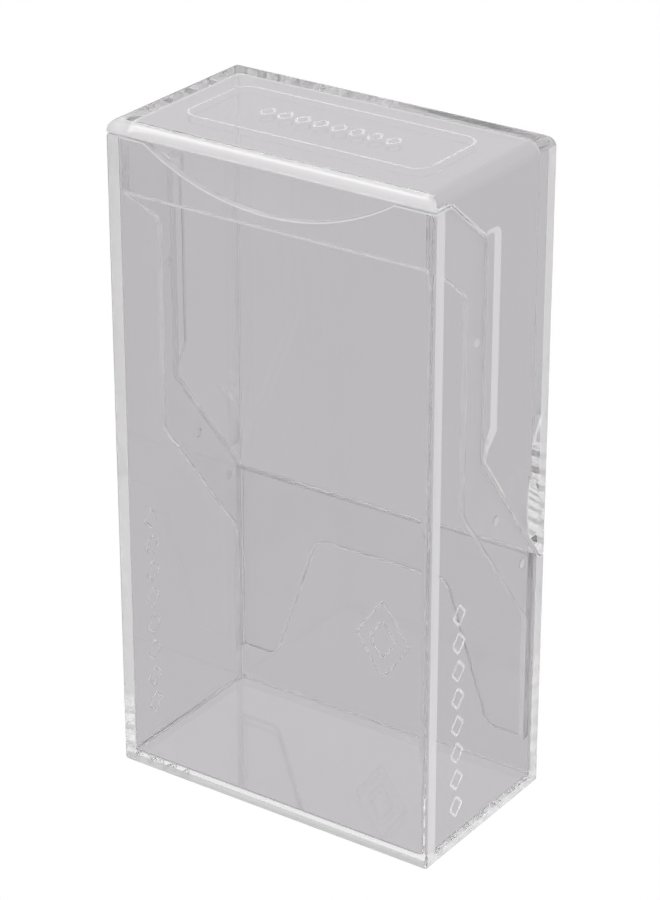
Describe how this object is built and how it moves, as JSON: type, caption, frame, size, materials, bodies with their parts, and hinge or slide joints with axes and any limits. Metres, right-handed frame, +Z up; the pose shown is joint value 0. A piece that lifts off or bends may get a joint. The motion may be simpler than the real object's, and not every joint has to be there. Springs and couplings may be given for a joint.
{
  "type": "card deck box",
  "caption": "Tall clear plastic box for a deck of cards, with a stepped lift-off cover whose long sleeve slides down inside the base.",
  "frame": {"origin": "on the ground, under the middle of the closed box", "axes": "+Z up, the way the cover lifts; X across the width; the base's tall front wall faces -Y and the low seam at the back faces +Y"},
  "size_m": [0.071, 0.0396, 0.1335],
  "materials": {
    "base_plastic": "clear, polished, very slightly grey",
    "cover_plastic": "clear, polished, very slightly grey"
  },
  "bodies": {
    "base": {"base": "base_plastic"},
    "cover": {"cover": "cover_plastic"}
  },
  "joints": [
    {"name": "cover_lift", "type": "slide", "parent": "base", "child": "cover", "axis": [0, 0, 1], "range_m": [0, 0.122]}
  ]
}
